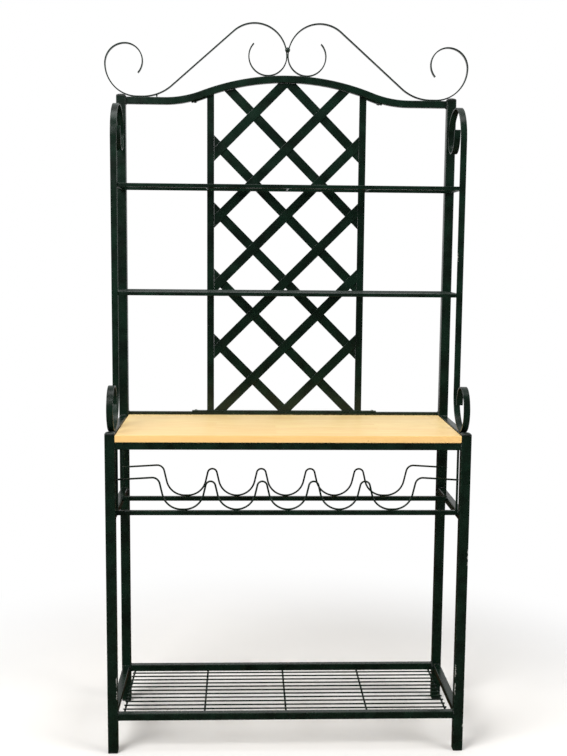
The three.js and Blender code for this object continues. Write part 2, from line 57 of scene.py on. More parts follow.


# Four quarter circles joined by straight sides, with a holding point beside each arc so that the
# sides shade flat. The second value is 1 on the arcs and 0 on the sides: scuffed edges with painted sheen.
def roundedOutline(width, height, radius, steps=4):
    flat = min(width, height) - 2 * radius
    hold = min(outlineLook["hold"], outlineLook["holdShare"] * flat)
    turn = np.linspace(0, math.pi / 2, steps + 1)
    points, worn = [], []
    for quarter, (right, up) in enumerate([(1, 1), (-1, 1), (-1, -1), (1, -1)]):
        angle = turn + quarter * math.pi / 2
        centre = np.array([right * (width / 2 - radius), up * (height / 2 - radius)])
        arcPart = centre + radius * np.stack([np.cos(angle), np.sin(angle)], 1)
        before = arcPart[:1] - hold * np.array([[-math.sin(angle[0]), math.cos(angle[0])]])
        after = arcPart[-1:] + hold * np.array([[-math.sin(angle[-1]), math.cos(angle[-1])]])
        points += [before, arcPart, after]
        worn += [0.0] + [1.0] * (steps + 1) + [0.0]
    return np.concatenate(points), np.array(worn)


# Points (r cos a, r sin a), the angle a going once round
def circleOutline(radius, count=16):
    angle = np.arange(count) * 2 * math.pi / count
    return radius * np.stack([np.cos(angle), np.sin(angle)], 1), np.full(count, outlineLook["rodWearAndSheen"])


# Points of an ellipse from one angle to another, in degrees, about every three degrees
def arc(centreX, centreZ, reachX, reachZ, start, end, pace=3.0):
    count = max(2, int(abs(end - start) / pace) + 1)
    angle = np.radians(np.linspace(start, end, count + 1))
    return np.stack([centreX + reachX * np.cos(angle), centreZ + reachZ * np.sin(angle)], 1)


# Drops points that repeat the one before
def joinPaths(*parts):
    path = np.concatenate([np.atleast_2d(part) for part in parts])
    step = np.linalg.norm(np.diff(path, axis=0), axis=1)
    return path[np.concatenate([[True], step > outlineLook["nearest"]])]


# A grid of rows of points, each row closed on itself, becomes quads, with a flat cap at each end
# unless the rows close too. Faces are turned outwards where the signed volume comes out negative.
def gridShell(rows, worn, ringed=False):
    rowCount, colCount = rows.shape[:2]
    index = np.arange(rowCount * colCount).reshape(rowCount, colCount)
    low = index if ringed else index[:-1]
    high = np.roll(index, -1, axis=0) if ringed else index[1:]
    quads = np.stack([low, np.roll(low, -1, 1), np.roll(high, -1, 1), high], -1).reshape(-1, 4)
    caps = [] if ringed else [index[0][::-1].tolist(), index[-1].tolist()]
    points = rows.reshape(-1, 3).astype(float)
    middle = points.mean(0)
    first, second, third, fourth = (points[quads[:, corner]] - middle for corner in range(4))
    volume = np.einsum("ij,ij->i", first, np.cross(second, third)).sum()
    volume += np.einsum("ij,ij->i", first, np.cross(third, fourth)).sum()
    for cap in caps:
        ring = points[cap] - middle
        volume += (np.cross(ring, np.roll(ring, -1, 0)) @ ring.mean(0)).sum()
    if volume < 0:
        quads = quads[:, ::-1]
        caps = [cap[::-1] for cap in caps]
    spread = np.broadcast_to(worn, (rowCount, colCount)).reshape(-1)
    return {"points": points, "quads": quads, "caps": caps, "worn": spread.astype(float)}


# Point (s, t) = path(s) + u(t) across(s) + v(t) up(s): an outline carried along a path. The
# outline is drawn in by the bevel at both ends, so the cut edges catch light.
def carry(path, across, up, outline, bevel=0.5):
    shape, worn = outline
    reach = np.abs(shape).max(0)
    drawnIn = shape * (reach - bevel) / reach
    startAlong = path[1] - path[0]
    endAlong = path[-1] - path[-2]
    startAlong = startAlong / np.linalg.norm(startAlong)
    endAlong = endAlong / np.linalg.norm(endAlong)
    stations = np.concatenate([path[:1], path[:1] + bevel * startAlong, path[1:-1],
                               path[-1:] - bevel * endAlong, path[-1:]])
    repeatEnds = [0, *range(len(path)), len(path) - 1]
    sections = np.repeat(shape[None], len(stations), 0)
    sections[0] = drawnIn
    sections[-1] = drawnIn
    rows = (stations[:, None] + sections[..., :1] * across[repeatEnds][:, None]
            + sections[..., 1:] * up[repeatEnds][:, None])
    wearAndSheen = np.repeat(worn[None], len(stations), 0)
    wearAndSheen[[0, 1, -2, -1]] = np.maximum(wearAndSheen[[0, 1, -2, -1]], outlineLook["endWearAndSheen"])
    return gridShell(rows, wearAndSheen)


# A path drawn in a plane, with the section's first axis in the plane and its second square to it
def carryPlanar(flatPath, plane, offset, outline, bevel=0.5):
    along = np.gradient(flatPath, axis=0)
    along /= np.linalg.norm(along, axis=1)[:, None]
    sideways = np.stack([along[:, 1], -along[:, 0]], 1)
    first, second, third = {"xz": (0, 2, 1), "yz": (1, 2, 0)}[plane]
    path = np.zeros((len(flatPath), 3))
    across = np.zeros_like(path)
    up = np.zeros_like(path)
    path[:, first], path[:, second], path[:, third] = flatPath[:, 0], flatPath[:, 1], offset
    across[:, first], across[:, second] = sideways[:, 0], sideways[:, 1]
    up[:, third] = 1
    return carry(path, across, up, outline, bevel)


# A straight bar between two points, its section's first axis given
def carryStraight(start, end, acrossAxis, outline, bevel=0.5, rows=2):
    start, end = np.array(start, float), np.array(end, float)
    share = np.linspace(0, 1, rows)[:, None]
    path = start + (end - start) * share
    along = (end - start) / np.linalg.norm(end - start)
    across = np.array(acrossAxis, float)
    up = np.cross(along, across)
    return carry(path, np.repeat(across[None], rows, 0), np.repeat(up[None], rows, 0), outline, bevel)


# Rounded squares of changing side and corner strung on an axis: ring (k, t) = base + distance(k)
# along + outline(side(k), corner(k), t)
def loftSquares(base, along, across, rings, steps=4):
    base, along, across = (np.array(value, float) for value in (base, along, across))
    up = np.cross(along, across)
    rows, wearAndSheen = [], []
    for side, corner, distance in rings:
        shape, worn = roundedOutline(side, side, corner, steps)
        rows.append(base + distance * along + shape[:, :1] * across + shape[:, 1:] * up)
        wearAndSheen.append(worn)
    return gridShell(np.array(rows), np.array(wearAndSheen))


blobLook = {"capAngle": 82, "wearAndSheen": 0.2}


# Ellipsoid (a, b) -> centre + (rx cos a cos b, ry cos a sin b, rz sin a), closed by small caps
def blob(centre, reach, rows=7, count=12):
    height = np.radians(np.linspace(-blobLook["capAngle"], blobLook["capAngle"], rows))
    angle = np.arange(count) * 2 * math.pi / count
    grid = np.stack([np.outer(np.cos(height), np.cos(angle)), np.outer(np.cos(height), np.sin(angle)),
                     np.outer(np.sin(height), np.ones(count))], -1)
    return gridShell(np.array(centre, float) + grid * np.array(reach, float), blobLook["wearAndSheen"])


beadLook = {"radius": 1.5, "pool": 2.6, "swell": 0.2, "stepsPerPool": 5, "sides": 8, "corner": 2.0,
            "insideFace": 0.9, "wearAndSheen": 0.15}


# Weld bead round a tube's end: a small circle carried round the tube's outline, its radius rising
# and falling with each pool of the weld, and nothing of it left outside the frame's flat faces
def weldBead(centre, along, across, side):
    centre, along, across = (np.array(value, float) for value in (centre, along, across))
    up = np.cross(along, across)
    shape, _ = roundedOutline(side, side, beadLook["corner"])
    loop = np.concatenate([shape, shape[:1]])
    run = np.concatenate([[0], np.cumsum(np.linalg.norm(np.diff(loop, axis=0), axis=1))])
    pool = beadLook["pool"]
    count = int(run[-1] / pool) * beadLook["stepsPerPool"]
    place = np.linspace(0, run[-1], count, endpoint=False)
    flat = np.stack([np.interp(place, run, loop[:, 0]), np.interp(place, run, loop[:, 1])], 1)
    outward = flat / np.linalg.norm(flat, axis=1)[:, None]
    swell = 1 + beadLook["swell"] * np.sin(2 * math.pi * place / pool)
    size = beadLook["radius"] * swell[:, None]
    angle = np.arange(beadLook["sides"]) * 2 * math.pi / beadLook["sides"]
    reach = size * np.cos(angle)
    lift = size * np.sin(angle)
    ring = flat[:, None] + reach[..., None] * outward[:, None]
    rows = centre + ring[..., :1] * across + ring[..., 1:] * up + lift[..., None] * along
    deepest = rackSize["halfDepth"] - beadLook["insideFace"]
    rows[..., 1] = np.clip(rows[..., 1], -deepest, deepest)
    return gridShell(rows, beadLook["wearAndSheen"], ringed=True)


# Shells become one mesh object, named for the CAD node that it stands for
def putPiece(nodeName, ending, shells, slot="paint", crease=35):
    global pieceCount
    name = f"{nodeName}.{ending}"
    points, faces, worn, start = [], [], [], 0
    for shell in shells:
        points.append(shell["points"])
        worn.append(shell["worn"])
        faces += (shell["quads"] + start).tolist()
        faces += [[i + start for i in cap] for cap in shell["caps"]]
        start += len(shell["points"])
    mesh = bpy.data.meshes.new(name)
    mesh.from_pydata((np.concatenate(points) * mm).tolist(), [], faces)
    attribute = mesh.attributes.new("worn", "FLOAT", "POINT")
    attribute.data.foreach_set("value", np.concatenate(worn).astype(np.float32))
    mesh.polygons.foreach_set("use_smooth", np.ones(len(mesh.polygons), bool))
    mesh.set_sharp_from_angle(angle=math.radians(crease))
    mesh.materials.append(materialOf[slot])
    piece = bpy.data.objects.new(name, mesh)
    bpy.context.scene.collection.objects.link(piece)
    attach(piece, "root")
    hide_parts(nodeName)
    pieceCount += 1


# A CAD node's lowest and highest corners in millimetres
def cornersOf(nodeName):
    low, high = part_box(nodeName)
    return np.array(low) / mm, np.array(high) / mm


# sRGB hex to linear: up to 0.04045 a share is divided by 12.92, and above it, with 0.055 added and
# divided by 1.055, it is raised to the power 2.4
def hexColour(code):
    parts = np.array([int(code[i:i + 2], 16) for i in (1, 3, 5)]) / 255
    linear = np.where(parts <= 0.04045, parts / 12.92, ((parts + 0.055) / 1.055) ** 2.4)
    return (*linear.tolist(), 1.0)


# Adds a node with its settings, fills its inputs with values or links, from a list in their order, and
# gives back the output that is asked for
def addNode(tree, kind, output, inputs=(), **settings):
    made = tree.nodes.new("ShaderNode" + kind)
    for key, value in settings.items():
        setattr(made, key, value)
    for key, value in inputs.items() if isinstance(inputs, dict) else enumerate(inputs):
        if isinstance(value, bpy.types.NodeSocket):
            tree.links.new(value, made.inputs[key])
        else:
            made.inputs[key].default_value = value
    return None if output is None else made.outputs[output]


def newMaterial(name):
    material = bpy.data.materials.new(name)
    material.use_nodes = True
    material.node_tree.nodes.clear()
    return material, material.node_tree


def finishMaterial(tree, inputs):
    addNode(tree, "OutputMaterial", None, [addNode(tree, "BsdfPrincipled", "BSDF", inputs)])


# A pattern's scale is one over its real size in millimetres, in cells to the metre
def perMetre(size):
    return 1 / (size * mm)


# Nearly all of a noise's values lie in this span
noiseSpan = (0.3, 0.7)


# Soft patches of a given size: noise, of which the values over the span become the levels
def patches(tree, place, size, detail=3, span=noiseSpan, levels=(0, 1)):
    cells = {"Vector": place, "Scale": perMetre(size), "Detail": detail}
    return addNode(tree, "MapRange", 0, [addNode(tree, "TexNoise", "Fac", cells), *span, *levels])


# A fine relief: noise of a given size that is raised to a depth
def fineRelief(tree, place, size, detail, strength, depth):
    cells = {"Vector": place, "Scale": perMetre(size), "Detail": detail}
    return addNode(tree, "Bump", 0, {"Height": addNode(tree, "TexNoise", "Fac", cells),
                                     "Strength": strength, "Distance": depth * mm})


# Lays tints over a first colour one after another, each by its own share. Inputs 6 and 7 of a Mix
# node are its colours, and its output 2 is the mixed one.
def layTints(tree, first, layers):
    colour = hexColour(first)
    for share, tint in layers:
        colour = addNode(tree, "Mix", 2, {0: share, 6: colour, 7: hexColour(tint)}, data_type="RGBA")
    return colour


# The pale edge tint is partly a thinner coat on the edges and partly a painted edge highlight
coatLook = {"base": "#07130c", "lift": "#0c2016", "chip": "#c2c3bd", "rubbedAndSheen": "#22342a",
            "cloudSize": 45, "thinAndSheenSize": 9, "glossSize": 18, "chipSize": 3.0, "chipDepth": 0.12,
            "peelSize": 2.4, "peelDepth": 0.02, "roughness": (0.22, 0.32), "reflectance": 0.32,
            "cloudSpan": (0.35, 0.65), "thinAndSheenSpan": (0.45, 0.7), "thinAndSheenMost": 0.4, "edgeSpan": (0.3, 0.9),
            "edgeShares": (0.72, 1.0), "bareSpan": (0.79, 0.81), "knockCore": 0.25, "bareRough": 0.25,
            "bareMetal": 0.6, "peelStrength": 0.35, "chipStrength": 0.6}

# Places where the coat is knocked off: x, y, z and reach in millimetres, and how much of it is gone
knocks = [(459, -178, 532, 10, 0.5), (459, -178, 518, 8, 0.5), (459, -178, 500, 10, 0.5),
          (459, -178, 69, 8, 0.5), (434, -178, 215, 34, 0.33), (434, -178, 168, 30, 0.33),
          (-434, -178, 192, 28, 0.33), (-434, -178, 155, 24, 0.33), (439, -30, 1275, 22, 0.33),
          (-439, -30, 860, 20, 0.33), (454, -120, 838, 18, 0.33), (247, 165, 1680, 10, 0.33)]


# Polyester powder coat on steel tube, sprayed dry and baked: a deep gloss with a faint orange peel,
# paler on the edges, partly a thinner coat and partly a painted highlight, and bare specks where it was
# knocked.
# A speck is bare where noise and the nearest knock's share add up past a threshold.
def makePowderCoat():
    look = coatLook
    material, tree = newMaterial("polyesterPowderCoatOnSteel")
    place = addNode(tree, "TexCoord", "Object")
    worn = addNode(tree, "Attribute", "Fac", attribute_name="worn")
    cloud = patches(tree, place, look["cloudSize"], 3, look["cloudSpan"])
    # Paler edges: partly a thinner coat, partly a painted highlight along the rounded edges
    patchy = patches(tree, place, look["thinAndSheenSize"], 3, look["thinAndSheenSpan"], (0, look["thinAndSheenMost"]))
    thinAndSheen = addNode(tree, "Math", 0, [worn, patchy], operation="MULTIPLY")
    knocked = 0.0
    for x, y, z, reach, gone in knocks:
        knock = (x * mm, y * mm, z * mm)
        away = addNode(tree, "VectorMath", "Value", [place, knock], operation="DISTANCE")
        fade = [away, look["knockCore"] * reach * mm, reach * mm, gone, 0.0]
        near = addNode(tree, "MapRange", 0, fade, interpolation_type="SMOOTHSTEP")
        knocked = addNode(tree, "Math", 0, [knocked, near], operation="MAXIMUM")
    speck = addNode(tree, "TexNoise", "Fac", {"Vector": place, "Scale": perMetre(look["chipSize"]),
                                              "Detail": 3, "Roughness": 0.6})
    together = addNode(tree, "Math", 0, [speck, knocked], operation="ADD")
    onEdge = addNode(tree, "MapRange", 0, [worn, *look["edgeSpan"], *look["edgeShares"]])
    level = addNode(tree, "Math", 0, [together, onEdge], operation="MULTIPLY")
    bare = addNode(tree, "MapRange", 0, [level, *look["bareSpan"], 0, 1])
    tints = [(cloud, look["lift"]), (thinAndSheen, look["rubbedAndSheen"]), (bare, look["chip"])]
    gloss = patches(tree, place, look["glossSize"], 4, levels=look["roughness"])
    rough = addNode(tree, "Math", 0, [bare, look["bareRough"], gloss], operation="MULTIPLY_ADD")
    metal = addNode(tree, "Math", 0, [bare, look["bareMetal"]], operation="MULTIPLY")
    peel = fineRelief(tree, place, look["peelSize"], 1, look["peelStrength"], look["peelDepth"])
    dent = addNode(tree, "Bump", 0, {"Height": bare, "Strength": look["chipStrength"],
                                     "Distance": look["chipDepth"] * mm, "Normal": peel}, invert=True)
    finishMaterial(tree, {"Base Color": layTints(tree, look["base"], tints), "Roughness": rough,
                          "Metallic": metal, "Normal": dent, "IOR": 1.5,
                          "Specular IOR Level": look["reflectance"]})
    return material


# A nearly even skin: its tone, its roughness and its fine texture each follow a noise of their own
def nearlyEvenSkin(tree, look):
    place = addNode(tree, "TexCoord", "Object")
    tints = [(patches(tree, place, look["toneSize"]), look["pale"])]
    rough = patches(tree, place, look["glossSize"], levels=look["roughness"])
    skin = fineRelief(tree, place, look["textureSize"], 2, look["textureStrength"], look["textureDepth"])
    return {"Base Color": layTints(tree, look["dark"], tints), "Roughness": rough, "Normal": skin}


plasticLook = {"dark": "#0e1512", "pale": "#18211c", "toneSize": 6, "glossSize": 2.0,
               "roughness": (0.34, 0.48), "textureSize": 0.7, "textureStrength": 0.25, "textureDepth": 0.03}


# Low density polyethylene, injection moulded: an even satin with a fine moulded texture
def makePlugPlastic():
    material, tree = newMaterial("mouldedPolyethylene")
    finishMaterial(tree, {**nearlyEvenSkin(tree, plasticLook), "IOR": 1.5})
    return material


# The edge colour is painted shade on the board's front face
boardLook = {"stave": 43.0, "length": 420.0, "staveShift": (31.0, 9.6), "rowShift": 0.37,
             "glueLine": 0.12, "glueSoft": 0.4, "pale": "#f6dc9e", "deep": "#e8c17c", "rosy": "#f0cd90",
             "line": "#c69a52", "edge": "#e0ac60", "knot": "#6d4424", "poreDepth": 0.05,
             "poreStrength": 0.25, "knotPlace": (198, -178, 818), "roughness": (0.42, 0.55),
             "varnish": 0.12, "varnishRough": 0.3}
# Each grain of the board: its size across in millimetres, how much it is drawn out along the board,
# and its noise's detail, roughness and distortion
boardGrains = {"rings": (5.5, 0.07, 4, 0.55, 0.6), "bands": (26, 0.07, 2, 0.5, 0.3),
               "pores": (0.6, 0.045, 2, 0.6, 0.0)}
# Each layer of the board's colour: the value that its pattern starts from and the one it ends at, the
# layer's share at both, and its tint. The knot's and the edge's values are millimetres.
boardLayers = {"rings": (0.42, 0.66, 0.0, 0.6, "deep"), "bands": (0.4, 0.7, 0.0, 0.45, "deep"),
               "pores": (0.62, 0.74, 0.0, 0.4, "line"), "glue": (0, 1, 0.0, 0.5, "line"),
               # The edge layer darkens the board's front face: painted shade
               "knot": (0.9, 2.2, 0.85, 0.0, "knot"), "edge": (-177.4, -176.2, 0.55, 0.0, "edge")}


# Hard maple staves, glued edge to edge, planed and varnished: long pale bands that differ a little
# from stave to stave, year rings drawn out along the board, short pores and a soft sheen. The pores
# are drawn coarser than real ones, so that they show. The front face is painted deeper, as painted
# shade.
def makeMapleBoard():
    look = boardLook
    material, tree = newMaterial("varnishedMapleStaves")
    place = addNode(tree, "TexCoord", "Object")
    shiftX, shiftY = look["staveShift"]
    moved = addNode(tree, "Mapping", 0, {"Vector": place, "Location": (shiftX * mm, shiftY * mm, 0)})
    black, grey, white = ((level, level, level, 1) for level in (0, 0.5, 1))
    stave = addNode(tree, "TexBrick", "Color", {
        "Vector": moved, "Color1": black, "Color2": white, "Mortar": grey, "Scale": 1.0,
        "Brick Width": look["length"] * mm, "Row Height": look["stave"] * mm,
        "Mortar Size": look["glueLine"] * mm, "Mortar Smooth": look["glueSoft"]},
        offset=look["rowShift"], squash=1.0)
    shifted = addNode(tree, "VectorMath", 0, [place, stave], operation="ADD")
    inMillimetres = addNode(tree, "VectorMath", 0, {0: place, "Scale": 1 / mm}, operation="SCALE")
    fromKnot = addNode(tree, "VectorMath", "Value", [inMillimetres, look["knotPlace"]], operation="DISTANCE")
    patterns = {"glue": stave.node.outputs["Fac"], "knot": fromKnot,
                "edge": addNode(tree, "SeparateXYZ", "Y", [inMillimetres])}
    for name, (size, stretch, detail, roughness, distortion) in boardGrains.items():
        drawn = addNode(tree, "Mapping", 0, {"Vector": shifted, "Scale": (stretch, 1, 1)})
        patterns[name] = addNode(tree, "TexNoise", "Fac", {
            "Vector": drawn, "Scale": perMetre(size), "Detail": detail, "Roughness": roughness,
            "Distortion": distortion})
    tints = [(stave, look["rosy"])]
    for name, (start, end, startShare, endShare, tint) in boardLayers.items():
        share = addNode(tree, "MapRange", 0, [patterns[name], start, end, startShare, endShare])
        tints.append((share, look[tint]))
    rough = addNode(tree, "MapRange", 0, [patterns["rings"], *noiseSpan, *look["roughness"]])
    relief = addNode(tree, "Bump", 0, {"Height": patterns["pores"], "Strength": look["poreStrength"],
                                       "Distance": look["poreDepth"] * mm}, invert=True)
    finishMaterial(tree, {"Base Color": layTints(tree, look["pale"], tints), "Roughness": rough,
                          "Normal": relief, "IOR": 1.5, "Coat Weight": look["varnish"],
                          "Coat Roughness": look["varnishRough"]})
    return material


zincLook = {"dark": "#5b615e", "pale": "#7d837f", "toneSize": 1.5, "glossSize": 0.8,
            "roughness": (0.3, 0.45), "textureSize": 0.5, "textureStrength": 0.2, "textureDepth": 0.02}


# Carbon steel screws, zinc plated and blackened: a dull grey metal with a fine uneven skin
def makeScrewZinc():
    material, tree = newMaterial("blackenedZincOnSteel")
    finishMaterial(tree, {**nearlyEvenSkin(tree, zincLook), "Metallic": 1.0})
    return material


materialOf = {"paint": makePowderCoat(), "plastic": makePlugPlastic(), "board": makeMapleBoard(),
              "screw": makeScrewZinc()}
print("materials made")


tubeLook = {"corner": 2.0, "endEdge": 0.35}


# A straight square tube on its CAD node
def tubeShell(nodeName):
    low, high = cornersOf(nodeName)
    size = high - low
    axis = int(np.argmax(size))
    along = np.eye(3)[axis]
    across = np.eye(3)[(axis + 1) % 3]
    side = float(np.delete(size, axis).min())
    length = float(size[axis])
    base = (low + high) / 2
    base[axis] = low[axis]
    corner, edge = tubeLook["corner"], tubeLook["endEdge"]
    rings = [(side - 2 * edge, corner, 0.0), (side, corner, edge), (side, corner, length - edge),
             (side - 2 * edge, corner, length)]
    return loftSquares(base, along, across, rings), side, base, along, across, length


def putTube(nodeName, beads=(True, True)):
    shell, side, base, along, across, length = tubeShell(nodeName)
    shells = [shell]
    for wanted, place in zip(beads, (0.0, length)):
        if wanted:
            shells.append(weldBead(base + along * place, along, across, side))
    putPiece(nodeName, "tube", shells)


for nodeName in ("front_left_leg", "front_right_leg", "back_left_leg", "back_right_leg",
                 "left_post", "right_post"):
    putTube(nodeName, (False, False))
for nodeName in ("worktop_front_rail", "worktop_back_rail", "worktop_left_rail", "worktop_right_rail",
                 "shelf_front_rail", "shelf_back_rail", "shelf_left_rail", "shelf_right_rail",
                 "wine_left_rail", "wine_right_rail", "wine_front_bar", "wine_back_bar", "back_foot_rail"):
    putTube(nodeName)
print("tubes made")


capLook = {"flange": 2.0, "dome": 5.5, "corner": 2.0, "shankInset": 4, "shankCorner": 1.5, "shank": 8.0,
           "seat": 0.25, "lipInset": 0.6, "lipCorner": 1.8, "lipTop": 0.6, "tightest": 0.3,
           "power": 2.3, "topShare": 0.995, "domeRings": 11, "cornerShare": 0.28}


# A dome over a lip and a shank. At the share h of its height its half width is the square root of
# 1 - h to a power over 2, which rounds it over like a pillow.
def putCap(nodeName, base):
    look = capLook
    low, high = cornersOf(nodeName)
    centre = (low + high) / 2
    centre[2] = base
    side = float(high[0] - low[0])
    inner = side - look["shankInset"]
    rings = [(inner, look["shankCorner"], -look["shank"]), (inner, look["shankCorner"], look["seat"]),
             (side - look["lipInset"], look["lipCorner"], look["seat"]),
             (side, look["corner"], look["lipTop"]), (side, look["corner"], look["flange"])]
    for height in np.linspace(0, look["topShare"], look["domeRings"] + 1)[1:]:
        width = math.sqrt(1 - height ** look["power"])
        corner = max(look["tightest"], look["corner"] + look["cornerShare"] * side * height * width)
        rings.append((side * width, corner, look["flange"] + look["dome"] * height))
    shell = loftSquares(centre, axisOf["z"], axisOf["x"], rings, steps=6)
    shell["points"][:, 2] = np.minimum(shell["points"][:, 2], high[2])
    putPiece(nodeName, "dome", [shell], "plastic", crease=50)


# Each ring of a glide: how far it is inset, its corner and its height
glideLook = {"rings": [(3.4, 1.6, 0.0), (1.6, 2.0, 0.2), (0.5, 2.0, 0.8), (0.0, 2.0, 1.7), (0.0, 2.0, 3.8),
                       (0.3, 2.0, 4.0), (4.0, 1.2, 4.0), (4.0, 1.2, 12.0)]}


# A foot that is drawn in towards the floor, with a shank above it
def putGlide(nodeName):
    low, high = cornersOf(nodeName)
    centre = (low + high) / 2
    centre[2] = 0.0
    side = float(high[0] - low[0])
    rings = [(side - inset, corner, height) for inset, corner, height in glideLook["rings"]]
    shell = loftSquares(centre, axisOf["z"], axisOf["x"], rings)
    putPiece(nodeName, "foot", [shell], "plastic")


for side in ("left", "right"):
    putCap(f"front_{side}_leg_cap", rackSize["worktopTop"])
    putCap(f"{side}_post_cap", rackSize["postTop"])
    putGlide(f"front_{side}_glide")
    putGlide(f"back_{side}_glide")
print("plugs made")


boardSize = {"edge": 1.6, "endEdge": 0.9, "rows": 3}


# A rounded rectangle, as deep and thick as the board, carried along it
def putBoard():
    low, high = cornersOf("worktop_board")
    depth, thick = high[1] - low[1], high[2] - low[2]
    outline = roundedOutline(depth, thick, boardSize["edge"])
    middle = (low + high) / 2
    start, end = (low[0], middle[1], middle[2]), (high[0], middle[1], middle[2])
    shell = carryStraight(start, end, axisOf["y"], outline, boardSize["endEdge"], boardSize["rows"])
    putPiece("worktop_board", "staves", [shell], "board")


putBoard()
print("worktop made")


deckLook = {"wire": 4.0, "cross": 5.0, "wireBevel": 0.5, "weldSpread": 1.35, "weldSunk": 0.2,
            "weldTall": 1.0, "bottomPitch": 24.4, "bottomCount": 11, "shelfCount": 7,
            "crossInner": 212.5, "crossOuter": 420.5}


# Long wires over cross wires, with a small flattened pool of weld at every crossing
def putDeck(nodeName, count, crossPlaces, pitch=None):
    look = deckLook
    wire, cross, bevel, spread = look["wire"], look["cross"], look["wireBevel"], look["weldSpread"]
    low, high = cornersOf(nodeName)
    wireZ = high[2] - wire / 2
    crossZ = low[2] + cross / 2
    middleY = (low[1] + high[1]) / 2
    halfCross = (high[1] - low[1]) / 2
    pitch = pitch or 2 * (halfCross + rackSize["weldGap"]) / (count + 1)
    places = middleY + (np.arange(count) - (count - 1) / 2) * pitch
    shells = [carryStraight((low[0], y, wireZ), (high[0], y, wireZ), axisOf["y"],
                            circleOutline(wire / 2), bevel) for y in places]
    shells += [carryStraight((x, middleY - halfCross, crossZ), (x, middleY + halfCross, crossZ), axisOf["x"],
                             circleOutline(cross / 2), bevel) for x in crossPlaces]
    weldZ = crossZ + cross / 2 - look["weldSunk"]
    weldReach = (cross / 2 * spread, wire / 2 * spread, look["weldTall"])
    shells += [blob((x, y, weldZ), weldReach, rows=5, count=8) for x in crossPlaces for y in places]
    putPiece(nodeName, "wires", shells)


crossPlaces = (-deckLook["crossInner"], 0, deckLook["crossInner"])
putDeck("bottom_shelf_grid", deckLook["bottomCount"],
        (-deckLook["crossOuter"], *crossPlaces, deckLook["crossOuter"]), deckLook["bottomPitch"])
putDeck("upper_shelf_grid", deckLook["shelfCount"], crossPlaces)
putDeck("middle_shelf_grid", deckLook["shelfCount"], crossPlaces)

shelfLook = {"bar": 9.5, "corner": 1.1}


# A rounded bar carried round a rectangle, its sections mitred at the four corners
def putShelfFrame(nodeName):
    bar = shelfLook["bar"]
    low, high = cornersOf(nodeName)
    shape, worn = roundedOutline(bar, bar, shelfLook["corner"])
    centre = (low + high) / 2
    half = (high - low)[:2] / 2 - bar / 2
    rows = []
    for x, y in ((1, 1), (-1, 1), (-1, -1), (1, -1)):
        corner = np.array([centre[0] + x * half[0], centre[1] + y * half[1], centre[2]])
        out = np.array([x, y, 0.0])
        rows.append(corner + shape[:, :1] * out + shape[:, 1:] * axisOf["z"])
    shells = [gridShell(np.array(rows), np.repeat(worn[None], 4, 0), ringed=True)]
    putPiece(nodeName, "bar", shells)


putShelfFrame("upper_shelf_frame")
putShelfFrame("middle_shelf_frame")
print("shelves made")


wineLook = {"wire": 4.8, "pitch": 131.5, "troughs": 5, "height": 72.7, "troughRadius": 49.0,
            "crestRadius": 12.5, "endFlat": 8.5, "shoulderRadius": 19.0, "shoulderRise": 9.5, "endDrop": 5.0,
            "pace": 5, "tightPace": 8, "weldHalf": 6.5, "weldOver": 0.9, "weldTall": 1.5,
            "weldSunk": 0.4}


# Direction in degrees from the first centre to where the tangent crossing between two circles
# leaves the first: the line's own angle plus or minus acos((r1 + r2) / distance)
def crossTangent(first, firstRadius, second, secondRadius, side):
    line = np.array(second, float) - np.array(first, float)
    opening = math.acos((firstRadius + secondRadius) / np.linalg.norm(line))
    return math.degrees(math.atan2(line[1], line[0]) + side * opening)


# Troughs and crests are circles joined by straight tangents, ending in a shoulder and a level run
def scallopPath(bottom, end):
    look = wineLook
    trough, crest = look["troughRadius"], look["crestRadius"]
    pace, tightPace = look["pace"], look["tightPace"]
    troughZ = bottom + trough
    crestZ = bottom + look["height"] - crest
    lean = crossTangent((0, troughZ), trough, (look["pitch"] / 2, crestZ), crest, -1)
    parts = []
    for i in range(look["troughs"]):
        x = (i - (look["troughs"] - 1) / 2) * look["pitch"]
        left = x - look["endFlat"] if i == 0 else x
        right = x + look["endFlat"] if i == look["troughs"] - 1 else x
        parts.append(arc(left, troughZ, trough, trough, -180 - lean, -90, pace))
        parts.append(arc(right, troughZ, trough, trough, -90, lean, pace))
        if i < look["troughs"] - 1:
            crestX = x + look["pitch"] / 2
            parts.append(arc(crestX, crestZ, crest, crest, 180 + lean, -lean, tightPace))
    middle = np.concatenate(parts)
    touch = math.radians(180 + lean)
    radius = look["shoulderRadius"]
    shoulderZ = bottom + look["height"] + look["shoulderRise"] - radius
    climb = shoulderZ + radius * math.sin(touch) - middle[-1, 1]
    shoulderX = middle[-1, 0] - climb * math.tan(touch) - radius * math.cos(touch)
    fall = math.degrees(math.atan(look["endDrop"] / (end - shoulderX)))
    shoulder = arc(shoulderX, shoulderZ, radius, radius, 180 + lean, 90 - fall, tightPace)
    tail = np.concatenate([shoulder, [[end, shoulder[-1, 1] - look["endDrop"]]]])
    mirrored = (tail * [-1, 1])[::-1]
    return joinPaths(mirrored, middle, tail)


# The bent wire, welded to its bar at the foot of each trough
def putWineWire(nodeName):
    look = wineLook
    low, high = cornersOf(nodeName)
    radius = look["wire"] / 2
    path = scallopPath(low[2] + radius, high[0])
    y = float((low[1] + high[1]) / 2)
    shells = [carryPlanar(path, "xz", y, circleOutline(radius, 14))]
    weldReach = (look["weldHalf"], radius + look["weldOver"], look["weldTall"])
    for i in range(look["troughs"]):
        x = (i - (look["troughs"] - 1) / 2) * look["pitch"]
        shells.append(blob((x, y, low[2] + look["weldSunk"]), weldReach))
    putPiece(nodeName, "bent", shells)


hangerLook = {"edge": 0.2, "endWeldOver": 1.1, "endWeldTall": 1.4, "endWeldSunk": 0.4, "wireWeldZ": 710.0,
              "wireWeldOver": 0.9, "wireWeldTall": 3.0}


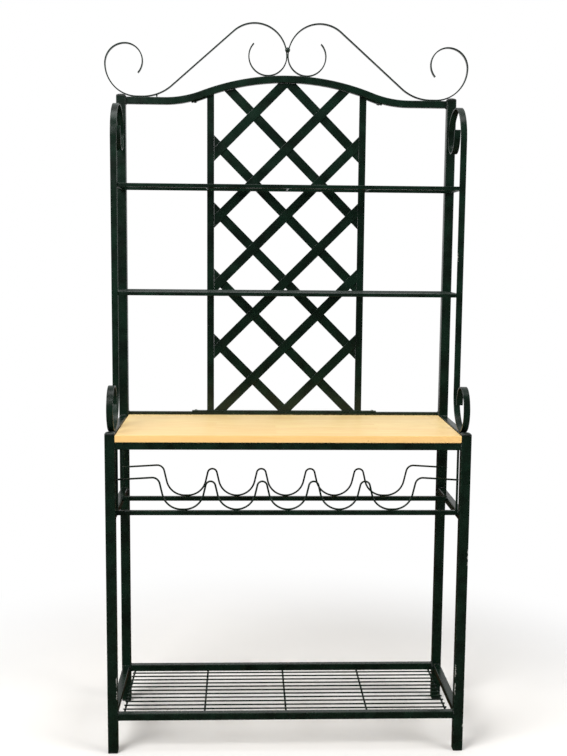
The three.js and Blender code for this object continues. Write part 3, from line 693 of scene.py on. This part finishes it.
# A round rod with a bead of weld at each end and one where the scalloped wire ends at it
def putHanger(nodeName):
    look = hangerLook
    low, high = cornersOf(nodeName)
    x, y = ((low + high) / 2)[:2]
    radius = float(high[0] - low[0]) / 2
    shells = [carryStraight((x, y, low[2]), (x, y, high[2]), axisOf["x"], circleOutline(radius, 16),
                            look["edge"])]
    endWide = radius + look["endWeldOver"]
    wireWide = radius + look["wireWeldOver"]
    for z in (low[2] + look["endWeldSunk"], high[2] - look["endWeldSunk"]):
        shells.append(blob((x, y, z), (endWide, endWide, look["endWeldTall"])))
    shells.append(blob((x, y, look["wireWeldZ"]), (wireWide, wireWide, look["wireWeldTall"])))
    putPiece(nodeName, "rod", shells)


for place in ("front", "back"):
    putWineWire(f"wine_{place}_wire")
    for side in ("left", "right"):
        putHanger(f"wine_{place}_{side}_hanger")
print("wine rack made")


archLook = {"rise": 61.0, "half": 331.0, "crownShare": 0.69, "reach": 433.8, "gap": 0.3, "points": 175}
archAngle = 2 * math.atan(archLook["rise"] / archLook["half"])
bothRadii = archLook["half"] / math.sin(archAngle)
crownRadius = bothRadii * archLook["crownShare"]
footRadius = bothRadii - crownRadius
archFootZ = rackSize["postTop"] - rackSize["weldGap"] - rackSize["railSide"] / 2
archTurn = crownRadius * math.sin(archAngle)


# Height of the rail's centre line: one arc at the crown, two reversed arcs at the feet, then flat
def archHeight(x):
    reach = np.minimum(np.abs(x), archLook["half"])
    fromMiddle = np.minimum(reach, archTurn)
    fromFoot = archLook["half"] - np.maximum(reach, archTurn)
    crownMiddleZ = archFootZ + archLook["rise"] - crownRadius
    crownPart = crownMiddleZ + np.sqrt(crownRadius ** 2 - fromMiddle ** 2)
    footPart = archFootZ + footRadius - np.sqrt(footRadius ** 2 - fromFoot ** 2)
    return np.where(reach <= archTurn, crownPart, footPart)


# The angle whose sine is the distance from an arc's middle over its radius
def archSlope(x):
    reach = np.minimum(np.abs(x), archLook["half"])
    steep = np.where(reach <= archTurn, reach / crownRadius, (archLook["half"] - reach) / footRadius)
    return -np.sign(x) * np.arcsin(steep)


# Top or bottom edge of the rail with its gap, measured upright
def archEdge(x, side):
    return archHeight(x) + side * (rackSize["railSide"] / 2 + archLook["gap"]) / np.cos(archSlope(x))


# A rounded square carried along the rail's centre line, with a weld bead at each end
def putArch():
    x = np.linspace(-archLook["reach"], archLook["reach"], archLook["points"])
    path = np.stack([x, archHeight(x)], 1)
    side = rackSize["railSide"]
    y = rackSize["archMiddleY"]
    shells = [carryPlanar(path, "xz", y, roundedOutline(side, side, tubeLook["corner"]))]
    for sign in (-1, 1):
        shells.append(weldBead((sign * archLook["reach"], y, archFootZ), axisOf["x"], axisOf["y"], side))
    putPiece("arched_top_rail", "tube", shells)


putArch()
print("arched rail made")


latticeLook = {"step": 90.0, "rows": 6, "flat": 25.4, "thick": 3.0, "sunk": 0.4, "edge": 0.5,
               "uprightX": 206.5, "uprightWidth": 19.0, "uprightThick": 5.0, "uprightEdge": 0.7,
               "strip": 3.0, "stripDepth": 13.0, "stripEdge": 0.6, "earReach": 51.5, "earInset": 11.0,
               "footTop": 839.0, "shortest": 5, "weldOver": 1.5, "weldDeep": 2.4, "weldTall": 1.4,
               "weldSunk": 0.3, "weldForward": 1.5, "scanShares": (-2.2, 4.4), "scanPoints": 16001,
               "stations": 24}
stripTop = latticeLook["footTop"] + rackSize["weldGap"] + latticeLook["strip"]
panelY = rackSize["halfDepth"] - latticeLook["stripDepth"] / 2
windowFoot = stripTop + rackSize["weldGap"]


# A flat is ruled between its two ends: point (s, t) = foot + (start(t) + s (end(t) - start(t))) along
# + v(t) across, where the ends are the first and last places inside the panel's window
def flatShell(foot, turn, layerY):
    look = latticeLook
    along = np.array([turn, 1.0]) / math.sqrt(2)
    across = np.array([1.0, -turn]) / math.sqrt(2)
    shape, worn = roundedOutline(look["flat"], look["thick"], look["edge"], 2)
    scanFrom, scanTo = (share * look["uprightX"] for share in look["scanShares"])
    reach = np.linspace(scanFrom, scanTo, look["scanPoints"])
    half = look["uprightX"] - look["uprightWidth"] / 2 - rackSize["weldGap"]
    starts, ends = [], []
    for v in shape[:, 0]:
        x = foot[0] + reach * along[0] + v * across[0]
        z = foot[1] + reach * along[1] + v * across[1]
        inside = (np.abs(x) <= half) & (z >= windowFoot) & (z <= archEdge(np.clip(x, -half, half), -1))
        run = reach[inside] if inside.any() else np.array([0.0, 0.0])
        starts.append(run[0])
        ends.append(run[-1])
    starts, ends = np.array(starts), np.array(ends)
    run = starts + (ends - starts) * np.linspace(0, 1, look["stations"])[:, None]
    rows = np.stack([foot[0] + run * along[0] + shape[:, 0] * across[0],
                     np.broadcast_to(layerY + shape[:, 1], run.shape),
                     foot[1] + run * along[1] + shape[:, 0] * across[1]], -1)
    return gridShell(rows, worn)


# The flats that run one way, half a thickness in front of those that run the other way
def putFlats():
    look = latticeLook
    shells = []
    for turn in (1, -1):
        layerY = panelY - turn * (look["thick"] - look["sunk"]) / 2
        for i in range(look["rows"]):
            shell = flatShell((0.0, stripTop + 2 * look["step"] * i), turn, layerY)
            if np.ptp(shell["points"][:, 2]) > look["shortest"]:
                shells.append(shell)
    putPiece("lattice_flats", "crossed", shells)


# An upright's outline carried from the strip up to the arched rail, which cuts its top, with the
# ear that follows the rail outwards and the weld at its foot. Its rows crowd at both ends, which
# keeps them crisp.
def putUpright(sign, side):
    look = latticeLook
    x = sign * look["uprightX"]
    shape, worn = roundedOutline(look["uprightWidth"], look["uprightThick"], look["uprightEdge"], 3)
    tops = archEdge(x + shape[:, 0], -1)
    share = np.concatenate([[0, 0.001], np.linspace(0.02, 0.98, 12), [0.999, 1]])[:, None]
    height = windowFoot + (tops - windowFoot) * share
    rows = np.stack([np.broadcast_to(x + shape[:, 0], height.shape),
                     np.broadcast_to(panelY + shape[:, 1], height.shape), height], -1)
    bar = gridShell(rows, worn)
    earX = np.linspace(x, x + sign * look["earReach"], 16)
    earPath = np.stack([earX, archEdge(earX, -1) - look["strip"] / 2], 1)
    earOutline = roundedOutline(look["strip"], look["stripDepth"], look["stripEdge"], 3)
    ear = carryPlanar(earPath, "xz", panelY, earOutline)
    weld = blob((x, panelY - look["weldForward"], windowFoot + look["weldSunk"]),
                (look["uprightWidth"] / 2 + look["weldOver"], look["weldDeep"], look["weldTall"]))
    putPiece(f"lattice_{side}_upright", "bar", [bar, ear, weld])


def putStrip():
    look = latticeLook
    low, high = cornersOf("lattice_bottom_strip")
    middleZ = (low[2] + high[2]) / 2
    strip = carryStraight((low[0], panelY, middleZ), (high[0], panelY, middleZ), axisOf["y"],
                          roundedOutline(look["stripDepth"], look["strip"], look["stripEdge"], 3))
    putPiece("lattice_bottom_strip", "flat", [strip])


putFlats()
for sign, side in bothSides:
    putUpright(sign, side)
putStrip()
print("lattice made")


scrollLook = {"width": 16.5, "thick": 4.0, "setback": 150.0, "lowerSweep": 88.0, "lowerOut": 52.0,
              "lowerRise": 56.3, "lowerIn": 50.0, "tipOut": 46.0, "tipFall": 40.0, "tipStraight": 12.0,
              "upperSweep": 89.0, "shoulderFall": 68.0, "upperCurl": 44.0, "upperStraight": 14.0,
              "belowPost": 32.5, "edge": 0.8, "endEdge": 0.4, "stemMargin": 6, "stemPoints": 30}
scrollWelds = {"landing": (-116, 0.6), "landingReach": (1.2, 4.5, 1.5), "post": (152.2, 1594),
               "postReach": (0.8, 1.3, 5.0), "shelfYs": (-26.2, 152.2), "shelfZs": (1451.2, 1175.2),
               "shelfReach": (5.2, 1.2, 5.6)}


# Quarter ellipses joined where their tangents agree, from the lower curl's tip up to the upper one's
def scrollPath():
    look = scrollLook
    lower, upper, rise, curl = look["lowerSweep"], look["upperSweep"], look["lowerRise"], look["upperCurl"]
    base = rackSize["worktopTop"] + rackSize["weldGap"] + look["thick"] / 2
    top = rackSize["postTop"] - look["belowPost"]
    stem = look["setback"] - rackSize["halfDepth"]
    landing = stem - lower
    curlTop = landing - look["lowerOut"] + look["lowerIn"]
    curlZ = base + rise
    tip = (curlTop + look["tipOut"], curlZ + rise - look["tipFall"])
    back = rackSize["legMiddleY"] - rackSize["legSide"] / 2 - rackSize["weldGap"] - look["thick"] / 2
    shoulder = stem + upper
    eye = back - curl
    eyeZ = top - look["shoulderFall"]
    margin = look["stemMargin"]
    stemZ = np.linspace(base + lower + margin, top - upper - margin, look["stemPoints"])
    return joinPaths(
        (tip[0], tip[1] - look["tipStraight"]),
        arc(curlTop, tip[1], look["tipOut"], look["tipFall"], 0, 90),
        arc(curlTop, curlZ, look["lowerIn"], rise, 90, 180),
        arc(landing, curlZ, look["lowerOut"], rise, 180, 270),
        arc(landing, base + lower, lower, lower, 270, 360),
        np.stack([np.full(len(stemZ), stem), stemZ], 1),
        arc(shoulder, top - upper, upper, upper, 180, 90),
        arc(shoulder, eyeZ, back - shoulder, look["shoulderFall"], 90, 0),
        arc(eye, eyeZ, curl, curl, 0, -180),
        (eye - curl, eyeZ + look["upperStraight"]))


# The flat bar with its welds to the worktop frame, the post and the two shelves
def putScrolls():
    look, welds = scrollLook, scrollWelds
    width, thick = look["width"], look["thick"]
    landingY, landingOver = welds["landing"]
    landingWide, landingLong, landingTall = welds["landingReach"]
    postWide, postDeep, postTall = welds["postReach"]
    path = scrollPath()
    for sign, side in bothSides:
        x = sign * rackSize["legMiddleX"]
        bar = carryPlanar(path, "yz", x, roundedOutline(thick, width, look["edge"], 3), look["endEdge"])
        shells = [bar, blob((x, landingY, rackSize["worktopTop"] + landingOver),
                            (width / 2 + landingWide, landingLong, landingTall)),
                  blob((x, *welds["post"]), (width / 2 + postWide, postDeep, postTall))]
        shells += [blob((x, y, z), welds["shelfReach"]) for z in welds["shelfZs"] for y in welds["shelfYs"]]
        putPiece(f"{side}_scroll", "bent", shells)


putScrolls()
print("scrolls made")


crownLook = {"thick": 3.2, "width": 12.7, "arch": 86.0, "inner": 51.0, "innerTip": 47.5, "innerAngle": 44.0,
             "landing": 121.0, "flat": 14.0, "landingX": 390.0, "outerSweep": 85.0, "outerCurl": 54.0,
             "outerTip": 46.0, "outerAngle": 43.0, "edge": 0.7, "endEdge": 0.4, "knot": 7.0, "knotRise": 15.5,
             "seamReach": (1.7, 0.9, 5.0)}
# Each weld: its middle's x, its height over the rail, half its length, how far it stands out of the
# bar's width, and half its height
crownWelds = {"inner": (52.7, -2.0, 7.5, 0.6, 1.6), "outer": (397, 0.2, 8.0, 0.6, 1.5),
              "prop": (351, 5.0, 2.4, 0.4, 4.6)}
innerMiddle = crownLook["thick"] / 2 + crownLook["inner"]
crownZ = float(archEdge(innerMiddle, 1)) + innerMiddle
railTop = float(archEdge(archLook["half"], 1))


# Circles joined by one crossing tangent: inner curl, high arch, straight run, landing, outer curl
def crownPath(sign):
    look = crownLook
    inner, innerTip, arch, landing = look["inner"], look["innerTip"], look["arch"], look["landing"]
    sweep, curl, outerTip = look["outerSweep"], look["outerCurl"], look["outerTip"]
    touch = (look["thick"] + rackSize["weldGap"]) / 2
    innerX = touch + inner
    archX = touch + arch
    rest = railTop + look["thick"] / 2
    landingX = look["landingX"]
    landingZ = rest + landing
    leave = crossTangent((archX, crownZ), arch, (landingX, landingZ), landing, 1)
    outerX = landingX + look["flat"]
    outerZ = rest + sweep
    curlX = outerX + sweep - curl
    direction = np.array([math.cos(math.radians(leave)), math.sin(math.radians(leave))])
    runStart = np.array([archX, crownZ]) + arch * direction
    runEnd = np.array([landingX, landingZ]) - landing * direction
    run = runStart + (runEnd - runStart) * np.linspace(0.05, 0.95, 14)[:, None]
    path = joinPaths(
        arc(innerX + inner - innerTip, crownZ, innerTip, innerTip, look["innerAngle"], 0),
        arc(innerX, crownZ, inner, inner, 0, -180),
        arc(archX, crownZ, arch, arch, 180, leave),
        run,
        arc(landingX, landingZ, landing, landing, leave - 180, -90),
        arc(outerX, outerZ, sweep, sweep, -90, 0),
        arc(curlX, outerZ, curl, curl, 0, 90),
        arc(curlX, outerZ + curl - outerTip, outerTip, outerTip, 90, 180 + look["outerAngle"]))
    return path * [sign, 1]


# A flat bar along each half's path, with its welds, and the ball on the front edges where they meet
def putCrown():
    look = crownLook
    y = rackSize["archMiddleY"]
    outline = roundedOutline(look["thick"], look["width"], look["edge"], 3)
    innerFoot = crownZ - look["inner"]
    for sign, side in bothSides:
        bar = carryPlanar(crownPath(sign), "xz", y, outline, look["endEdge"])
        highest = cornersOf(f"crown_{side}_bar")[1][2]
        bar["points"][:, 2] = np.minimum(bar["points"][:, 2], highest)
        wanted = [("inner", innerFoot), ("outer", railTop)]
        if side == "left":
            wanted.append(("prop", railTop))  # only the left half is propped on a blob of weld
        shells = [bar]
        for weld, base in wanted:
            weldX, above, long, over, tall = crownWelds[weld]
            shells.append(blob((sign * weldX, y, base + above), (long, look["width"] / 2 + over, tall)))
        putPiece(f"crown_{side}_bar", "bent", shells)
    centre = (0, y - (look["width"] + look["knot"]) / 2, crownZ + look["knotRise"])
    ball = blob(centre, (look["knot"],) * 3, 20, 32)
    seam = blob((0, y - look["width"] / 2, crownZ), look["seamReach"])
    putPiece("crown_knot", "ball", [ball, seam], crease=60)


putCrown()
print("crown made")


screwLook = {"head": 4.0, "tall": 2.4, "shank": 2.0, "slotHalf": 0.55, "slotReach": 2.1, "slotDeep": 1.2,
             "around": 48, "latticeLength": 12.5, "tipGap": 0.6, "rimShare": 0.45,
             "ringShares": [0.04, 0.12, 0.2, 0.3, 0.4, 0.48, 0.55, 0.65, 0.78, 0.9, 0.97, 1.0]}


# Pan head as a height over a disc: at the share r of its radius it stands at the rim's share plus the
# rest times sqrt(1 - r^2), less a cross of two slots. A skirt and a shank close it below.
def screwShell(seat, direction, length):
    look = screwLook
    seat, direction = np.array(seat, float), np.array(direction, float)
    direction /= np.linalg.norm(direction)
    first = np.cross(direction, axisOf["y"])
    first /= np.linalg.norm(first)
    second = np.cross(direction, first)
    angle = np.arange(look["around"]) * 2 * math.pi / look["around"]
    share = np.array(look["ringShares"])
    rim = look["rimShare"]
    radius = look["head"] * share
    x, z = np.outer(radius, np.cos(angle)), np.outer(radius, np.sin(angle))
    dome = look["tall"] * (rim + (1 - rim) * np.sqrt(1 - share ** 2))[:, None]
    arm = np.minimum(np.abs(x), np.abs(z)) < look["slotHalf"]
    slot = np.where(arm & (radius[:, None] < look["slotReach"]), look["slotDeep"], 0.0)
    lift = dome - slot
    head = seat + x[..., None] * first + z[..., None] * second + lift[..., None] * direction
    circle = np.outer(np.cos(angle), first) + np.outer(np.sin(angle), second)
    below = [seat + circle * reach + direction * height for reach, height
             in ((look["head"], 0.0), (look["shank"], 0.0), (look["shank"], -length))]
    return gridShell(np.concatenate([head, np.array(below)]), 0.0)


# The upper screws stand square to the ear, which follows the slope of the arched rail
def putLatticeScrews():
    earX = latticeLook["uprightX"] + latticeLook["earReach"] - latticeLook["earInset"]
    length = screwLook["latticeLength"]
    for sign, side in bothSides:
        x = sign * earX
        seat = float(archEdge(x, -1)) - latticeLook["strip"] - 2 * rackSize["weldGap"]
        slope = float(archSlope(x))
        upper = screwShell((x, panelY, seat), (math.sin(slope), 0, -math.cos(slope)), length)
        lower = screwShell((x, panelY, stripTop + rackSize["weldGap"]), (0, 0, 1), length)
        putPiece(f"lattice_upper_{side}_screw", "head", [upper], "screw")
        putPiece(f"lattice_lower_{side}_screw", "head", [lower], "screw")


# Head down, from inside the rail up into the board
def putWorktopScrews():
    tall = screwLook["tall"]
    for i in range(1, 5):
        nodeName = f"worktop_screw_{i}"
        low, high = cornersOf(nodeName)
        x, y = ((low + high) / 2)[:2]
        length = float(high[2] - low[2]) - tall - screwLook["tipGap"]
        putPiece(nodeName, "head", [screwShell((x, y, low[2] + tall), (0, 0, -1), length)], "screw")


putLatticeScrews()
putWorktopScrews()
for nodeName in ("left_post_spigot", "right_post_spigot"):
    putTube(nodeName, (False, False))
print("screws made, pieces so far", pieceCount)


# Metres, from here to the end of the file, but for the cloud's size in millimetres
studio = {"floor": "#f3f1ee", "cloud": "#f6f4f1", "cloudSize": 400, "mirroredFloor": "#3a2c1e",
          "floorRadius": 6.0, "floorSides": 96, "floorBelow": 0.0004, "fadeSpan": (0.6, 1.5),
          "skySpan": (-0.35, 0.55), "skyLevels": (0.05, 0.7)}
lamps = {"softKey": {"place": (-2.2, -2.4, 3.0), "target": (0, 0, 0.9), "size": 2.4, "energy": 150.0},
         "softFill": {"place": (2.8, -1.6, 2.2), "target": (0, 0, 0.9), "size": 2.0, "energy": 60.0},
         "softTop": {"place": (0.0, -0.3, 3.4), "target": (0, 0, 0.8), "size": 1.6, "energy": 30.0}}


# A round floor that fades to white where the camera sees it far from the rack. Glossy rays find it
# dark, as the wooden floor of a room is, so that the coat keeps its depth.
def makeFloor():
    angle = np.arange(studio["floorSides"]) * 2 * math.pi / studio["floorSides"]
    ring = np.stack([np.cos(angle), np.sin(angle), 0 * angle], 1) * studio["floorRadius"]
    ring[:, 2] = -studio["floorBelow"]
    mesh = bpy.data.meshes.new("studioFloor")
    mesh.from_pydata(ring.tolist(), [], [list(range(studio["floorSides"]))])
    material, tree = newMaterial("paleStudioFloor")
    place = addNode(tree, "TexCoord", "Object")
    away = addNode(tree, "VectorMath", "Value", [place], operation="LENGTH")
    fade = addNode(tree, "MapRange", 0, [away, *studio["fadeSpan"], 0, 1], interpolation_type="SMOOTHSTEP")
    glossyRay = addNode(tree, "LightPath", "Is Glossy Ray")
    cameraRay = glossyRay.node.outputs["Is Camera Ray"]
    cloud = patches(tree, place, studio["cloudSize"], 2)
    tints = [(cloud, studio["cloud"]), (glossyRay, studio["mirroredFloor"])]
    matt = addNode(tree, "BsdfDiffuse", 0, {"Color": layTints(tree, studio["floor"], tints)})
    white = addNode(tree, "Emission", 0, {"Color": (1, 1, 1, 1), "Strength": 1.0})
    seen = addNode(tree, "Math", 0, [fade, cameraRay], operation="MULTIPLY")
    addNode(tree, "OutputMaterial", None, [addNode(tree, "MixShader", 0, [seen, matt, white])])
    mesh.materials.append(material)
    floor = bpy.data.objects.new("studioFloor", mesh)
    bpy.context.scene.collection.objects.link(floor)


# The sky is brighter behind the rack than in front of it, as a pale wall is, and plain white where
# it is seen straight
def makeSky():
    world = bpy.data.worlds.new("softRoom")
    bpy.context.scene.world = world
    world.use_nodes = True
    tree = world.node_tree
    tree.nodes.clear()
    toBack = addNode(tree, "SeparateXYZ", "Y", [addNode(tree, "TexCoord", "Generated")])
    spread = [toBack, *studio["skySpan"], *studio["skyLevels"]]
    level = addNode(tree, "MapRange", 0, spread, interpolation_type="SMOOTHSTEP")
    cameraRay = addNode(tree, "LightPath", "Is Camera Ray")
    strength = addNode(tree, "Math", 0, [level, cameraRay], operation="MAXIMUM")
    sky = addNode(tree, "Background", 0, {"Color": (1, 1, 1, 1), "Strength": strength})
    addNode(tree, "OutputWorld", None, [sky])


def addLamp(name, look):
    data = bpy.data.lights.new(name, "AREA")
    data.shape = "DISK"
    data.size = look["size"]
    data.energy = look["energy"]
    lamp = bpy.data.objects.new(name, data)
    bpy.context.scene.collection.objects.link(lamp)
    ahead = Vector(look["target"]) - Vector(look["place"])
    lamp.location = look["place"]
    lamp.rotation_mode = "QUATERNION"
    lamp.rotation_quaternion = ahead.to_track_quat("-Z", "Y")


# Angles in radians, lens and sensor in millimetres, shifts in shares of the picture's longer side
cameraView = {"place": (-0.11296, -2.88058, 1.30097), "yaw": 0.0389, "down": 0.1275, "roll": -0.009,
              "lens": 52.38, "sensor": 36.0, "shiftX": -0.00405, "shiftY": 0.01153}


# The camera looks along +Y, turned right by the yaw, tipped down and then rolled
def makeCamera():
    view = cameraView
    data = bpy.data.cameras.new("frontCamera")
    data.lens = view["lens"]
    data.sensor_width = view["sensor"]
    data.sensor_fit = "AUTO"
    data.shift_x = view["shiftX"]
    data.shift_y = view["shiftY"]
    camera = bpy.data.objects.new("frontCamera", data)
    bpy.context.scene.collection.objects.link(camera)
    yaw, tip, roll = view["yaw"], view["down"], view["roll"]
    ahead = np.array([math.sin(yaw) * math.cos(tip), math.cos(yaw) * math.cos(tip), -math.sin(tip)])
    right = np.array([math.cos(yaw), -math.sin(yaw), 0.0])
    down = np.cross(ahead, right)
    rolledRight = math.cos(roll) * right + math.sin(roll) * down
    rolledDown = -math.sin(roll) * right + math.cos(roll) * down
    turn = Matrix(np.stack([rolledRight, -rolledDown, -ahead], 1).tolist())
    camera.rotation_mode = "QUATERNION"
    camera.rotation_quaternion = turn.to_quaternion()
    camera.location = view["place"]
    bpy.context.scene.camera = camera


makeFloor()
makeSky()
for name, look in lamps.items():
    addLamp(name, look)
makeCamera()
bpy.context.scene.view_settings.view_transform = "Standard"
print("studio made")
